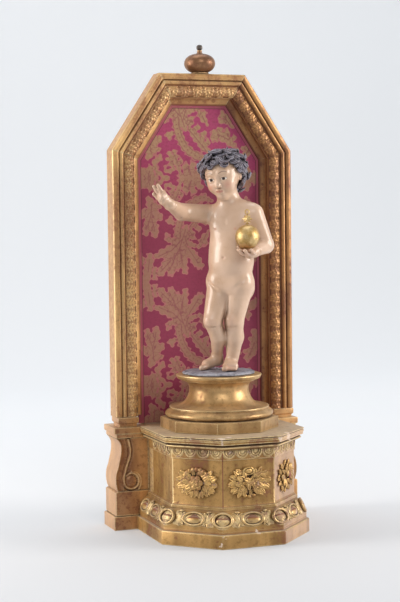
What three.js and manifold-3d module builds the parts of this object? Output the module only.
import * as THREE from "three";
import { mergeVertices } from "three/addons/utils/BufferGeometryUtils.js";
import Module from "manifold-3d";

// A gilded niche stand with a carved and painted child figure in front of a damask panel.
// Millimetres, +Z up, the front faces -Y, origin on the floor under the middle of the stand.

// Driving dimensions
const gap = 0.3;                     // play between pieces that touch
const chamfer = Math.tan(Math.PI / 8); // ratio of half a side to the apothem of an octagon

const base = {
  centreY: -4.9,
  height: 203.5,
  backY: 156.1,
  wingFrontY: 83.8,
  plinthApothem: 151.2,
  plinthHeight: 26.3,
  bodyApothem: 124.7,
  corniceApothem: 143,
};
const egg = {
  width: 50, height: 31, z: 52, apothem: 141, cornerDraw: 0.977, relief: 5, tilt: -0.45, sides: 6,
};
const rosette = { halfWidth: 42, halfHeight: 30, z: 118, petals: 9, centrePetals: 5 };
const scallop = { width: 23, height: 14, z: 176.5, relief: 3.2, perFace: 4, sides: 4 };

const wing = {
  footHalf: 197.3,
  topHalf: 195.3,
  height: 202,
  plinthHeight: 27,
  blockTop: 76,
  bulgeHalf: 193.5,
  neckHalf: 181.5,
};

const frame = {
  frontY: 88.8,
  depth: 41,
  outerHalf: 188.8,
  bottomZ: 221.3,
  shoulderZ: 744.5,
  topHalf: 90.5,
  topZ: 895,
  width: 61.1,
  rebate: 55,
  sightDepth: 30.5,
};
const leaf = { pitch: 23, across: 35, length: 25, width: 13, height: 3.2, splay: 0.6, rise: 3 };
const footBlock = { halfWidth: 20, height: 18.7, z: 202.3, depth: 44, centreX: 165.5, frontY: 86.6 };

const finial = { z: 895.3, ball: 31, ballHeight: 41, stem: 4.9, knob: 5.9, top: 953.4 };

const pedestal = { x: -5, y: 8, foot: 106, footHeight: 22, rim: 83, top: 308 };
const ground = { radius: 69, top: 314, thickness: 5.7 };

const figure = {
  turn: -Math.PI / 4,
  cell: [11.5, 13, 18],              // spacing of the skin's grid on the body, the head and the hands
  headCell: [9.8, 9.8, 9.8],
  handCell: [6.6, 6.6, 6.6],
};
const globe = { centre: [77, -32, 258.5], radius: 23 };

// Finishes
function finish(color, roughness, metalness) {
  return new THREE.MeshStandardMaterial({ color, roughness, metalness });
}
const gilding = finish("#b98f47", 0.42, 0.55);
const wornGilding = finish("#9a6a3e", 0.5, 0.4);
const flesh = finish("#dcb995", 0.32, 0);
const stoneGrey = finish("#8c8c98", 0.55, 0);
const damask = finish("#a2405c", 0.75, 0);
const rawWood = finish("#8a6a4c", 0.7, 0);
const brass = finish("#d8b45e", 0.3, 0.9);
const darkIron = finish("#3a3532", 0.5, 0.7);

// Solids
const wasm = await Module();
wasm.setup();

function solidOf(geometry) {
  const bare = geometry.index ? geometry.toNonIndexed() : geometry.clone();
  bare.deleteAttribute("normal");
  bare.deleteAttribute("uv");
  const merged = mergeVertices(bare, 1e-4);
  const triVerts = new Uint32Array(merged.index.array);
  const kept = [];
  for (let i = 0; i < triVerts.length; i += 3) {
    const [a, b, c] = triVerts.subarray(i, i + 3);
    if (a !== b && b !== c && c !== a) kept.push(a, b, c);
  }
  const vertProperties = new Float32Array(merged.attributes.position.array);
  const faces = new Uint32Array(kept);
  return new wasm.Manifold(new wasm.Mesh({ numProp: 3, vertProperties, triVerts: faces }));
}

function geometryOf(solid) {
  const mesh = solid.getMesh();
  const geometry = new THREE.BufferGeometry();
  geometry.setAttribute("position", new THREE.BufferAttribute(mesh.vertProperties, 3));
  geometry.setIndex(new THREE.BufferAttribute(mesh.triVerts, 1));
  geometry.computeVertexNormals();
  return geometry;
}

function join(geometries) {
  return geometries.map(solidOf).reduce((whole, piece) => whole.add(piece));
}

// A closed skin through rings of equal length, each a list of [x, y, z]. Its ends are filled as the
// flat outline, a list of [a, b] pairs, is.
function loft(rings, outline) {
  const count = outline.length;
  const flat = outline.map(([a, b]) => new THREE.Vector2(a, b));
  const cap = THREE.ShapeUtils.triangulateShape(flat, []);
  const index = [];
  for (let r = 0; r + 1 < rings.length; r += 1) {
    for (let i = 0; i < count; i += 1) {
      const j = (i + 1) % count;
      const [a, b, c, d] = [r * count + i, r * count + j, (r + 1) * count + j, (r + 1) * count + i];
      index.push(a, b, c, a, c, d);
    }
  }
  const last = (rings.length - 1) * count;
  for (const [a, b, c] of cap) {
    index.push(c, b, a);
    index.push(last + a, last + b, last + c);
  }
  const geometry = new THREE.BufferGeometry();
  geometry.setAttribute("position", new THREE.Float32BufferAttribute(rings.flat(2), 3));
  geometry.setIndex(index);
  return outward(geometry);
}

// Turns every face over when the skin encloses a negative volume
function outward(geometry) {
  const { array } = geometry.attributes.position;
  const index = geometry.index.array;
  const at = (i) => new THREE.Vector3().fromArray(array, 3 * i);
  let volume = 0;
  for (let i = 0; i < index.length; i += 3) {
    volume += at(index[i]).dot(at(index[i + 1]).cross(at(index[i + 2])));
  }
  if (volume < 0) {
    for (let i = 0; i < index.length; i += 3) [index[i], index[i + 2]] = [index[i + 2], index[i]];
  }
  return geometry;
}

// A turned form about the Z axis from [radius, z] pairs, read upwards
function turned(profile, segments) {
  const points = profile.map(([radius, z]) => new THREE.Vector2(radius, z));
  return new THREE.LatheGeometry(points, segments).rotateX(Math.PI / 2);
}

// Points of an arc from one [a, b] pair to another, bulging by a share of the chord
function arc(from, to, bulge, steps) {
  const points = [];
  for (let i = 0; i <= steps; i += 1) {
    const t = i / steps;
    const lift = 4 * bulge * t * (1 - t);
    const along = [to[0] - from[0], to[1] - from[1]];
    points.push([from[0] + along[0] * t + along[1] * lift, from[1] + along[1] * t - along[0] * lift]);
  }
  return points;
}

function piece(name, geometry, material) {
  const mesh = new THREE.Mesh(geometry, material);
  mesh.name = name;
  return mesh;
}

// Base: five faces of an octagon, its sides running straight back
function basePlan(apothem, z, backY) {
  const half = apothem * chamfer;
  const { centreY } = base;
  return [
    [-apothem, backY, z],
    [-apothem, centreY - half, z],
    [-half, centreY - apothem, z],
    [half, centreY - apothem, z],
    [apothem, centreY - half, z],
    [apothem, backY, z],
  ];
}

function baseProfile() {
  const { plinthApothem, plinthHeight, bodyApothem, corniceApothem, height } = base;
  const fillet = bodyApothem + 3;
  return [
    [plinthApothem, 0],
    [plinthApothem, plinthHeight],
    [plinthApothem - 4, plinthHeight + 3],
    ...arc([plinthApothem - 5, plinthHeight + 5], [fillet, 69], 0.16, 3),
    [fillet, 74],
    [bodyApothem, 76],
    [bodyApothem, 160],
    [bodyApothem + 1.5, 161.5],
    [bodyApothem + 1.5, 178],
    [bodyApothem + 8, 182],
    [bodyApothem + 12, 185],
    [bodyApothem + 12, 189],
    [bodyApothem + 9, 191],
    [corniceApothem, 194],
    [corniceApothem, height - 1.5],
    [corniceApothem - 1.5, height],
  ];
}

// Places on the faces of the base: [x, y, turn about Z], spaced evenly from corner to corner
function faceStations(apothem, perFace, withCorners) {
  const half = apothem * chamfer;
  const corners = [
    [-apothem, base.wingFrontY - 28],
    [-apothem, base.centreY - half],
    [-half, base.centreY - apothem],
    [half, base.centreY - apothem],
    [apothem, base.centreY - half],
    [apothem, base.wingFrontY - 28],
  ];
  const stations = [];
  for (let i = 0; i + 1 < corners.length; i += 1) {
    const [from, to] = [corners[i], corners[i + 1]];
    const turn = Math.atan2(to[1] - from[1], to[0] - from[0]);
    for (let k = 0; k < perFace; k += 1) {
      const t = withCorners ? k / perFace : (k + 0.5) / perFace;
      const corner = withCorners && k === 0 && i > 0;
      const draw = corner ? egg.cornerDraw : 1;
      const [x, y] = [from[0] + (to[0] - from[0]) * t, from[1] + (to[1] - from[1]) * t];
      const drawnY = base.centreY + (y - base.centreY) * draw;
      stations.push([x * draw, drawnY, corner ? turn - Math.PI / 8 : turn]);
    }
  }
  if (withCorners) stations.push([...corners[5], Math.PI / 2]);
  return stations;
}

// An egg in its oval rim, lying in the XZ plane and standing out towards -Y
function eggForm() {
  const { relief, sides } = egg;
  const profile = [
    [0, -4], [1, -4], [0.9, relief * 0.7], [0.72, relief * 0.2], [0, relief * 1.1],
  ];
  const form = turned(profile, sides);
  form.scale(egg.width / 2, egg.height / 2, 1);
  return form.rotateX(Math.PI / 2);
}

function scallopForm() {
  const { width, height, relief } = scallop;
  const outline = new THREE.Shape();
  outline.moveTo(-width / 2, 0);
  outline.absellipse(0, 0, width / 2, height, Math.PI, 2 * Math.PI, false);
  const options = { depth: relief + 2, bevelEnabled: false, curveSegments: scallop.sides };
  return new THREE.ExtrudeGeometry(outline, options).rotateX(Math.PI / 2).translate(0, 2, 0);
}

function makeBase() {
  const rings = baseProfile().map(([a, z]) => basePlan(a, z, base.wingFrontY - gap));
  const moulded = loft(rings, rings[0]);
  const coreHalf = base.bodyApothem;
  const coreDepth = base.backY - base.wingFrontY + 40;
  const core = new THREE.BoxGeometry(2 * coreHalf, coreDepth, base.height);
  core.translate(0, base.backY - coreDepth / 2, base.height / 2);
  const parts = [moulded, core];
  for (const [x, y, turn] of faceStations(egg.apothem, 2, true)) {
    parts.push(eggForm().rotateX(egg.tilt).rotateZ(turn).translate(x, y, egg.z));
  }
  for (const [x, y, turn] of faceStations(base.bodyApothem + 1.5, scallop.perFace, false)) {
    parts.push(scallopForm().rotateZ(turn).translate(x, y, scallop.z));
  }
  return piece("base_case", geometryOf(join(parts)), gilding);
}

// Wings: scroll brackets that carry the frame's stiles
function wingOutline() {
  const inner = base.bodyApothem + gap;
  const { footHalf, topHalf, height, plinthHeight, blockTop, bulgeHalf, neckHalf } = wing;
  const outline = new THREE.Shape();
  outline.moveTo(inner, 0);
  outline.lineTo(footHalf, 0);
  outline.lineTo(footHalf, plinthHeight);
  outline.lineTo(bulgeHalf, plinthHeight + 2);
  outline.lineTo(bulgeHalf, blockTop - 3);
  outline.lineTo(bulgeHalf - 5, blockTop);
  outline.bezierCurveTo(bulgeHalf + 1, blockTop + 12, bulgeHalf + 1, blockTop + 34, 188, 122);
  outline.bezierCurveTo(184, 142, neckHalf - 1, 148, neckHalf, 164);
  outline.bezierCurveTo(neckHalf, 172, 188, 178, 191, 181);
  outline.lineTo(191, 189);
  outline.lineTo(topHalf, 191);
  outline.lineTo(topHalf, height);
  outline.lineTo(inner, height);
  outline.closePath();
  return outline;
}

// The line cut along the scroll: it follows the edge and winds into a volute
function scrollPath() {
  const points = [[168, 176], [165, 162], [168, 146], [174, 128]];
  const [centreX, centreZ, turns, steps] = [162.5, 98, 0.95, 9];
  for (let i = 0; i <= steps; i += 1) {
    const t = i / steps;
    const angle = 0.55 - 2 * Math.PI * turns * t;
    const radius = 17 - 4 * t;
    points.push([centreX + radius * Math.cos(angle), centreZ + radius * Math.sin(angle)]);
  }
  const onFront = points.map(([x, z]) => new THREE.Vector3(x, base.wingFrontY, z));
  return new THREE.CatmullRomCurve3(onFront);
}

function makeWing(name, side) {
  const depth = base.backY - base.wingFrontY;
  const options = { depth, bevelEnabled: false, curveSegments: 6 };
  const board = new THREE.ExtrudeGeometry(wingOutline(), options).rotateX(Math.PI / 2);
  board.translate(0, base.backY, 0);
  const section = new THREE.Shape();
  section.absellipse(0, 0, 1.8, 1.8, 0, 2 * Math.PI, false);
  const groove = new THREE.ExtrudeGeometry(section, {
    steps: 13, bevelEnabled: false, curveSegments: 2, extrudePath: scrollPath(),
  });
  const carved = solidOf(board).subtract(solidOf(groove));
  const whole = side < 0 ? carved.mirror([1, 0, 0]) : carved;
  return piece(name, geometryOf(whole), wornGilding);
}

// Rosettes: an oval spray of petals round a flower, applied to three faces of the base
function petal(radiusX, radiusZ, angle, size, lift) {
  const form = new THREE.OctahedronGeometry(1);
  form.scale(size * 1.25, lift, size * 0.8);
  form.rotateY(-angle);
  return form.translate(radiusX * Math.cos(angle), 0, radiusZ * Math.sin(angle));
}

function rosetteForm() {
  const { halfWidth, halfHeight, petals, centrePetals } = rosette;
  const backing = turned([[0, -1], [1, -1], [0.9, 3], [0, 3]], 10);
  backing.scale(halfWidth, halfHeight, 1).rotateX(Math.PI / 2);
  const parts = [backing];
  for (let i = 0; i < petals; i += 1) {
    const angle = (2 * Math.PI * (i + 0.5)) / petals;
    parts.push(petal(halfWidth * 0.8, halfHeight * 0.77, angle, 9.6, 6.5).translate(0, -1.6, 0));
  }
  for (let i = 0; i < centrePetals; i += 1) {
    parts.push(petal(9, 9, (2 * Math.PI * i) / centrePetals, 5.2, 7).translate(0, -3, 0));
  }
  parts.push(new THREE.OctahedronGeometry(5).translate(0, -5, 0));
  const whole = join(parts);
  const keep = new THREE.BoxGeometry(100, 30, 100).translate(0, -15 - gap, 0);
  return whole.intersect(solidOf(keep));
}

function makeRosette(name, faceTurn) {
  const mesh = piece(name, geometryOf(rosetteForm()), gilding);
  const { bodyApothem, centreY } = base;
  mesh.rotation.z = faceTurn;
  mesh.position.x = bodyApothem * Math.sin(faceTurn);
  mesh.position.y = centreY - bodyApothem * Math.cos(faceTurn);
  mesh.position.z = rosette.z;
  return mesh;
}

// Frame: mitred members of one moulding round five sides of the niche
function mouldingProfile() {
  const { depth, width, rebate, sightDepth } = frame;
  return [
    [0, depth], [0, 6], [3, 1.8], [8, 1], [12, 3.2], [13, 8.5], [15, 8.5],
    [16, 1.4], [23, 1.4], [24.5, 8],
    ...arc([27, 6], [43.5, 7], 0.33, 3),
    [44.5, 13], [50, 22], [width, sightDepth - 1],
    [width, sightDepth], [rebate, sightDepth], [rebate, depth],
  ];
}

const frameCorners = [
  [-frame.outerHalf, frame.bottomZ], [-frame.outerHalf, frame.shoulderZ], [-frame.topHalf, frame.topZ],
  [frame.topHalf, frame.topZ], [frame.outerHalf, frame.shoulderZ], [frame.outerHalf, frame.bottomZ],
];

function direction(from, to) {
  return new THREE.Vector2(to[0] - from[0], to[1] - from[1]).normalize();
}

function inwardOf(along) {
  return new THREE.Vector2(along.y, -along.x);
}

// How far a point that is one millimetre in from the outer edge moves at a corner
function mitre(k) {
  if (k === 0 || k === frameCorners.length - 1) return new THREE.Vector2(k === 0 ? 1 : -1, 0);
  const before = inwardOf(direction(frameCorners[k - 1], frameCorners[k]));
  const after = inwardOf(direction(frameCorners[k], frameCorners[k + 1]));
  const bisector = before.clone().add(after).normalize();
  return bisector.multiplyScalar(1 / bisector.dot(before));
}

function leafForm(along, hand) {
  const form = new THREE.OctahedronGeometry(1);
  form.scale(leaf.length / 2, leaf.height, leaf.width / 2);
  form.translate(leaf.length * 0.3, 0, 0);
  form.rotateY(-hand * leaf.splay);
  form.rotateY(-Math.atan2(along.y, along.x));
  return form;
}

function makeMember(name, k) {
  const [from, to] = [frameCorners[k], frameCorners[k + 1]];
  const along = direction(from, to);
  const inward = inwardOf(along);
  const profile = mouldingProfile();
  const ring = (corner, m, shift) => profile.map(([w, d]) => [
    corner[0] + m.x * w + along.x * shift, frame.frontY + d, corner[1] + m.y * w + along.y * shift,
  ]);
  const rings = [ring(from, mitre(k), gap / 2), ring(to, mitre(k + 1), -gap / 2)];
  const reach = new THREE.Vector2(to[0] - from[0], to[1] - from[1]).length();
  const [cutFrom, cutTo] = [mitre(k).dot(along), mitre(k + 1).dot(along)];
  const start = leaf.across * cutFrom + 12;
  const end = reach + leaf.across * cutTo - 12;
  const count = Math.max(2, Math.round((end - start) / leaf.pitch));
  const parts = [loft(rings, profile)];
  for (let i = 0; i < count; i += 1) {
    const t = start + ((end - start) * (i + 0.2)) / count;
    const hand = i % 2 === 0 ? -1 : 1;
    const w = leaf.across - hand * 3;
    const x = from[0] + along.x * t + inward.x * w;
    const z = from[1] + along.y * t + inward.y * w;
    parts.push(leafForm(along, hand).translate(x, frame.frontY + leaf.rise, z));
  }
  return piece(name, geometryOf(join(parts)), gilding);
}

// A flat board that fills the frame's outline, set in by an inset
function boardOutline(inset, lowZ) {
  const outline = new THREE.Shape();
  frameCorners.forEach((corner, k) => {
    const m = mitre(k);
    const z = k === 0 || k === frameCorners.length - 1 ? lowZ : corner[1] + m.y * inset;
    const x = corner[0] + m.x * inset;
    if (k === 0) outline.moveTo(x, z);
    else outline.lineTo(x, z);
  });
  outline.closePath();
  return outline;
}

function makeBoard(name, frontY, thickness, inset, lowZ, material) {
  const options = { depth: thickness, bevelEnabled: false };
  const board = new THREE.ExtrudeGeometry(boardOutline(inset, lowZ), options).rotateX(Math.PI / 2);
  return piece(name, board.translate(0, frontY + thickness, 0), material);
}

function makeFootBlock(name, side) {
  const { halfWidth, height, depth, centreX, frontY, z } = footBlock;
  const steps = [[halfWidth - 2, 0], [halfWidth - 2, 6], [halfWidth + 1, 9], [halfWidth + 1, height]];
  const rings = steps.map(([half, rise]) => {
    const ahead = half - halfWidth;
    return [
      [-half, frontY - ahead, z + rise], [half, frontY - ahead, z + rise],
      [half, frontY + depth, z + rise], [-half, frontY + depth, z + rise],
    ];
  });
  const mesh = piece(name, loft(rings, rings[0]), gilding);
  mesh.position.x = side * centreX;
  return mesh;
}

// Finial: a cushion ball on a foot, with a dark knob on its stem
function makeFinial() {
  const { z, ball, ballHeight, stem } = finial;
  const profile = [[0, z], [18, z], [18, z + 2.5], [15, z + 4]];
  const steps = 6;
  for (let i = 1; i < steps; i += 1) {
    const t = -0.42 * Math.PI + (0.9 * Math.PI * i) / steps;
    profile.push([ball * Math.cos(t) ** 0.8, z + 21 + (ballHeight / 2 - 1) * Math.sin(t)]);
  }
  profile.push([stem + 2.5, z + ballHeight], [stem, z + ballHeight + 1.5], [stem, z + ballHeight + 6]);
  profile.push([0, z + ballHeight + 6]);
  return piece("finial_ball", turned(profile, 12), gilding);
}

function makeKnob() {
  const { z, ballHeight, knob, top } = finial;
  const low = z + ballHeight + 6 + gap;
  const profile = [[0, low], [4, low], [knob, low + 2.4], [knob, top - 3], [3.5, top - 0.6], [0, top]];
  return piece("finial_knob", turned(profile, 8), darkIron);
}

const frameMiddleY = frame.frontY + frame.depth / 2;

// Pedestal: an octagonal foot under turned mouldings
function makePedestal() {
  const { foot, footHeight, rim, top } = pedestal;
  const low = base.height + gap;
  const octagon = (apothem, z) => Array.from({ length: 8 }, (_, i) => {
    const angle = ((i + 0.5) * Math.PI) / 4;
    const reach = apothem / Math.cos(Math.PI / 8);
    return [reach * Math.cos(angle), reach * Math.sin(angle), z];
  });
  const footRings = [[foot, low], [foot, low + footHeight - 2], [foot - 2, low + footHeight]];
  const footForm = loft(footRings.map(([a, z]) => octagon(a, z)), octagon(foot, low));
  const z0 = low + footHeight - 1;
  const profile = [
    [0, z0], [98, z0],
    ...arc([99, z0], [99, z0 + 18], 0.42, 3),
    [95, z0 + 20],
    ...arc([95, z0 + 22], [58, z0 + 48], -0.2, 3),
    [57.6, z0 + 58],
    [60, z0 + 66], [66, z0 + 70], [80, top - 9], [rim, top - 7], [rim, top - 1.5], [rim - 2, top], [0, top],
  ];
  const mesh = piece("pedestal", geometryOf(join([footForm, turned(profile, 18)])), gilding);
  mesh.position.set(pedestal.x, pedestal.y, 0);
  return mesh;
}

// Ground: a low mound with an uneven rim under the figure's feet
function makeGround() {
  const { radius, top, thickness } = ground;
  const low = top - thickness;
  const sides = 18;
  const ring = (share, z, rough) => Array.from({ length: sides }, (_, i) => {
    const angle = (2 * Math.PI * i) / sides;
    const wave = rough * (Math.sin(3 * angle + 1) + Math.sin(7 * angle));
    return [(radius * share + wave) * Math.cos(angle), (radius * share + wave) * Math.sin(angle), z];
  });
  const rings = [
    ring(0.97, low, 0.6), ring(0.985, low + 2.4, 0.9), ring(0.97, top - 1.2, 0.9), ring(0.93, top, 0.9),
  ];
  const mesh = piece("ground", loft(rings, rings[0]), stoneGrey);
  mesh.position.set(pedestal.x, pedestal.y, gap);
  return mesh;
}

// Figure: rounded limbs blended into one skin. x runs to the figure's left, -y the way it faces.
// Each limb is [from, to, radius at from, radius at to, blend].
const limbs = [
  [[6, 8, 172], [40, 9, 170], 32, 32, 10],
  [[14, 5, 212], [14, 10, 272], 32, 30, 14],
  [[40, 6, 212], [39, 10, 270], 32, 31, 14],
  [[-6, 12, 303], [60, 13, 304], 18, 19, 10],
  [[24, 16, 310], [17, 8, 346], 25, 20, 10],
  [[26, 16, 316], [58, 14, 308], 16, 15, 8],
  [[8, 20, 160], [8, 20, 160], 27, 27, 8],
  [[40, 24, 158], [40, 24, 158], 28, 28, 8],
  [[40, 12, 158], [31, 6, 96], 28, 19.5, 4],
  [[31, 7, 92], [28, 14, 64], 18.5, 18, 6],
  [[28, 14, 64], [22, 18, 26], 18, 13, 6],
  [[18, 22, 18], [15, 27, 10], 12, 11, 5],
  [[18, 20, 12], [36, -8, 9], 10, 10.5, 6],
  [[14, 20, 12], [24, -12, 9], 10, 10.5, 6],
  [[24, -12, 7], [27, -22, 6], 9.5, 7, 4],
  [[36, -8, 7], [41, -18, 6], 9, 6.5, 4],
  [[4, 4, 158], [-4, -17, 98], 27, 19, 3],
  [[-4, -15, 92], [0, 0, 64], 17.5, 15.5, 5],
  [[0, 0, 64], [-10, 16, 34], 15.5, 11.5, 5],
  [[-12, 20, 24], [-13, 26, 16], 12, 10.5, 5],
  [[-13, 20, 17], [-27, -1, 10], 11, 10.5, 6],
  [[-27, -1, 8], [-34, -12, 6.5], 11, 7.5, 4],
  [[-16, 12, 302], [-58, -42, 305], 19, 17, 6],
  [[-60, -45, 305], [-64, -95, 323], 17, 11.5, 4],
  [[70, 14, 302], [87, 32, 242], 20, 16.5, 7],
  [[87, 31, 241], [84, -16, 230], 16.5, 11.5, 4],
];

function limbDistance(p, [a, b, radiusA, radiusB]) {
  const along = b.map((v, i) => v - a[i]);
  const length = along.reduce((sum, v) => sum + v * v, 0);
  const reach = p.reduce((sum, v, i) => sum + (v - a[i]) * along[i], 0);
  const t = length > 0 ? Math.min(1, Math.max(0, reach / length)) : 0;
  const off = p.map((v, i) => v - a[i] - along[i] * t);
  return Math.hypot(...off) - (radiusA + (radiusB - radiusA) * t);
}

function blend(a, b, k) {
  const h = Math.max(k - Math.abs(a - b), 0) / k;
  return Math.min(a, b) - (h * h * k) / 4;
}

function limbField(list) {
  return (x, y, z) => list.reduce(
    (whole, limb) => blend(whole, limbDistance([x, y, z], limb), limb[4]), 1e3);
}

// True where the marked corners of a cell hang together along its edges
function connected(inside) {
  const first = inside.indexOf(true);
  if (first < 0) return true;
  const seen = new Set([first]);
  for (const corner of seen) {
    for (const bit of [1, 2, 4]) {
      if (inside[corner ^ bit]) seen.add(corner ^ bit);
    }
  }
  return seen.size === inside.filter(Boolean).length;
}

// Fills cells that the skin would pass through twice, so that it never touches itself
function mendCells(value, n, id) {
  let filled = true;
  while (filled) {
    filled = false;
    for (let k = 0; k + 1 < n[2]; k += 1) {
      for (let j = 0; j + 1 < n[1]; j += 1) {
        for (let i = 0; i + 1 < n[0]; i += 1) {
          const corner = (_, c) => id(i + (c & 1), j + ((c >> 1) & 1), k + (c >> 2));
          const keys = Array.from({ length: 8 }, corner);
          const inside = keys.map((key) => value[key] < 0);
          const outside = inside.map((flag) => !flag);
          if (connected(inside) && connected(outside)) continue;
          const open = keys.filter((key, c) => outside[c]);
          open.sort((a, b) => value[a] - value[b]);
          value[open[0]] = -0.3;
          filled = true;
        }
      }
    }
  }
}

// A skin on the zero level of a field, one vertex in each cell that the skin crosses
function skin(field, low, high, cell) {
  const origin = low.map((v, d) => v - cell[d]);
  const n = low.map((v, d) => Math.ceil((high[d] - v) / cell[d]) + 3);
  const id = (i, j, k) => i + n[0] * (j + n[1] * k);
  const value = new Float32Array(n[0] * n[1] * n[2]);
  for (let k = 0; k < n[2]; k += 1) {
    for (let j = 0; j < n[1]; j += 1) {
      for (let i = 0; i < n[0]; i += 1) {
        value[id(i, j, k)] = field(...[i, j, k].map((s, d) => origin[d] + s * cell[d]));
      }
    }
  }
  mendCells(value, n, id);
  const steps = [[1, 0, 0], [0, 1, 0], [0, 0, 1]];
  const points = [];
  const vertexOf = new Map();
  const vertexAt = (...place) => {
    const key = id(...place);
    if (vertexOf.has(key)) return vertexOf.get(key);
    const sum = [0, 0, 0];
    let hits = 0;
    for (let axis = 0; axis < 3; axis += 1) {
      for (let corner = 0; corner < 4; corner += 1) {
        const start = [...place];
        start[(axis + 1) % 3] += corner & 1;
        start[(axis + 2) % 3] += corner >> 1;
        const a = value[id(...start)];
        const b = value[id(...start.map((s, d) => s + steps[axis][d]))];
        if (a < 0 === b < 0) continue;
        start.forEach((s, d) => { sum[d] += s + (a / (a - b)) * steps[axis][d]; });
        hits += 1;
      }
    }
    vertexOf.set(key, points.length / 3);
    sum.forEach((s, d) => points.push(origin[d] + (s / hits) * cell[d]));
    return vertexOf.get(key);
  };
  const index = [];
  for (let k = 1; k + 1 < n[2]; k += 1) {
    for (let j = 1; j + 1 < n[1]; j += 1) {
      for (let i = 1; i + 1 < n[0]; i += 1) {
        const here = value[id(i, j, k)];
        for (let axis = 0; axis < 3; axis += 1) {
          const next = value[id(i + steps[axis][0], j + steps[axis][1], k + steps[axis][2])];
          if (here < 0 === next < 0) continue;
          const [u, v] = [steps[(axis + 1) % 3], steps[(axis + 2) % 3]];
          const quad = [[0, 0], [1, 0], [1, 1], [0, 1]].map(([du, dv]) => vertexAt(
            i - du * u[0] - dv * v[0], j - du * u[1] - dv * v[1], k - du * u[2] - dv * v[2]));
          const [a, b, c, d] = here < 0 ? quad : quad.reverse();
          index.push(a, b, c, a, c, d);
        }
      }
    }
  }
  const geometry = new THREE.BufferGeometry();
  geometry.setAttribute("position", new THREE.Float32BufferAttribute(points, 3));
  geometry.setIndex(index);
  return outward(geometry);
}

// Head: its own frame, face towards -y, origin at the middle of the skull
const head = {
  centre: [12, 3, 382], turn: -0.22, nod: 0.1, skull: [33, 38, 35], hairOut: [10, 8, 2], curls: 36, curl: 11,
};
const faceLimbs = [
  [[0, -10, -12], [0, -14, -22], 25, 20, 10],
  [[-11, -21, -19], [-11, -21, -19], 13, 13, 8],
  [[11, -21, -19], [11, -21, -19], 13, 13, 8],
  [[0, -22, -36], [0, -24, -38], 10, 9, 8],
  [[0, -35, -2], [0, -41, -15], 3.4, 4.6, 4],
  [[-5, -37, -25], [5, -37, -25], 3, 3, 3],
];

function headField() {
  const curls = [];
  for (let i = 0; i < head.curls; i += 1) {
    const up = 1 - (1.72 * (i + 0.5)) / head.curls;
    const round = Math.sqrt(Math.max(0, 1 - up * up));
    const angle = i * Math.PI * (3 - Math.sqrt(5));
    const at = [round * Math.sin(angle), round * Math.cos(angle), up];
    const onFace = at[1] < -0.25 && at[2] < 0.62;
    if (!onFace) curls.push(at.map((v, d) => v * (head.skull[d] + head.hairOut[d])));
  }
  const hair = curls.map((p) => [p, p, head.curl, head.curl, 3.5]);
  const limb = limbField(faceLimbs);
  const hairMass = limbField(hair);
  return (x, y, z) => {
    const scaled = Math.hypot(x / head.skull[0], y / head.skull[1], z / head.skull[2]);
    const skull = (scaled - 1) * Math.min(...head.skull);
    return blend(blend(skull, limb(x, y, z), 8), hairMass(x, y, z), 2.5);
  };
}

function makeHead() {
  const form = skin(headField(), [-58, -62, -58], [58, 62, 58], figure.headCell);
  form.rotateX(head.nod).rotateZ(head.turn);
  return form.translate(...head.centre);
}

// Hands: the right one raised with two fingers up, the left one open under the globe
const rightHand = [
  [[-64, -95, 323], [-69, -107, 334], 11, 10.5, 6],
  [[-69, -107, 334], [-71, -109, 343], 11, 9, 6],
  [[-74, -110, 342], [-78, -116, 356], 4.8, 3.6, 2.5],
  [[-67, -111, 343], [-69, -118, 358], 4.8, 3.6, 2.5],
  [[-63, -112, 340], [-65, -121, 336], 4.6, 4.2, 3],
  [[-60, -108, 336], [-63, -117, 331], 4.3, 4, 3],
  [[-77, -103, 333], [-82, -113, 338], 4.8, 3.8, 3],
];
const leftHand = [
  [[84, -16, 230], [80, -30, 226], 11, 10, 6],
  [[74, -24, 228], [66, -44, 232], 5, 4, 3],
  [[78, -30, 226], [73, -52, 232], 5, 4, 3],
  [[84, -30, 226], [83, -53, 232], 5, 4, 3],
  [[90, -28, 228], [94, -49, 234], 4.8, 3.8, 3],
  [[76, -16, 230], [62, -26, 238], 5, 4, 3],
];

function makeFigure() {
  const body = skin(limbField(limbs), [-94, -116, -10], [122, 70, 366], figure.cell);
  const right = skin(limbField(rightHand), [-94, -132, 306], [-44, -78, 376], figure.handCell);
  const left = skin(limbField(leftHand), [50, -66, 206], [108, 2, 250], figure.handCell);
  const clearance = new THREE.SphereGeometry(globe.radius + gap + 0.3, 18, 12).translate(...globe.centre);
  const under = new THREE.BoxGeometry(400, 400, 60).translate(0, 0, -30 + 0.001);
  const whole = join([body, makeHead(), right, left]);
  const seated = whole.subtract(solidOf(clearance)).subtract(solidOf(under));
  return piece("child_figure", geometryOf(seated), flesh);
}

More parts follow.
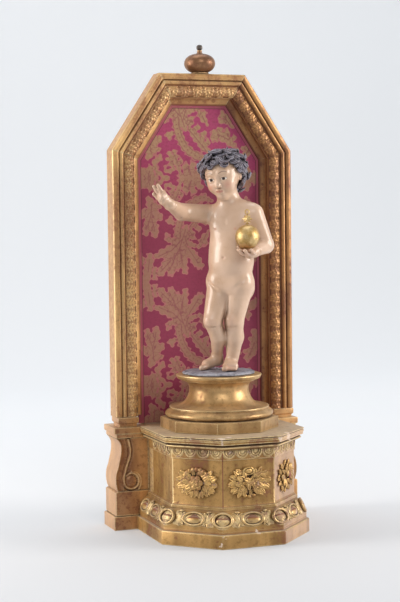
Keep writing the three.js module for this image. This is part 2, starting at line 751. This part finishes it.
function makeGlobe() {
  const ball = new THREE.SphereGeometry(globe.radius, 12, 8).rotateX(Math.PI / 2);
  return piece("globe", ball.translate(...globe.centre), brass);
}

// Cross: rays round a small ring on a foot, standing on the globe
function makeCross() {
  const bottom = globe.centre[2] + globe.radius + gap;
  const parts = [turned([[0, 0], [4, 0], [1.6, 3], [1.6, 12], [0, 12]], 5)];
  const rays = 6;
  for (let i = 0; i < rays; i += 1) {
    const angle = (2 * Math.PI * i) / rays;
    const ray = new THREE.ConeGeometry(2.2, 10, 3).translate(0, 5, 0).rotateZ(angle);
    parts.push(ray.rotateX(Math.PI / 2).translate(0, 0, 12));
  }
  parts.push(new THREE.OctahedronGeometry(4).translate(0, 0, 12));
  parts.push(new THREE.TorusGeometry(4.2, 1.3, 3, 7).rotateX(Math.PI / 2).translate(0, 0, 26));
  const form = geometryOf(join(parts));
  return piece("globe_cross", form.translate(globe.centre[0], globe.centre[1], bottom), brass);
}

const statue = new THREE.Group();
statue.add(makeBase(), makeWing("scroll_wing_left", -1), makeWing("scroll_wing_right", 1));
statue.add(makeRosette("rosette_front", 0));
statue.add(makeRosette("rosette_left", -Math.PI / 4));
statue.add(makeRosette("rosette_right", Math.PI / 4));
statue.add(makePedestal(), makeGround());

const standing = new THREE.Group();
standing.position.set(pedestal.x, pedestal.y, ground.top + 2 * gap);
standing.rotation.z = figure.turn;
standing.add(makeFigure(), makeGlobe(), makeCross());
statue.add(standing);

const memberNames = ["stile_left", "shoulder_rail_left", "top_rail", "shoulder_rail_right", "stile_right"];
memberNames.forEach((name, k) => statue.add(makeMember(name, k)));
statue.add(makeFootBlock("foot_block_left", -1), makeFootBlock("foot_block_right", 1));
const panelY = frame.frontY + frame.sightDepth + gap;
const panelInset = frame.rebate + gap;
statue.add(makeBoard("damask_panel", panelY, 1.2, panelInset, base.height + gap, damask));
statue.add(makeBoard("back_board", panelY + 1.2 + gap, 8.7, panelInset, base.height + gap, rawWood));
const crown = new THREE.Group();
crown.position.set(0, frameMiddleY, 0);
crown.add(makeFinial(), makeKnob());
statue.add(crown);

export default statue;
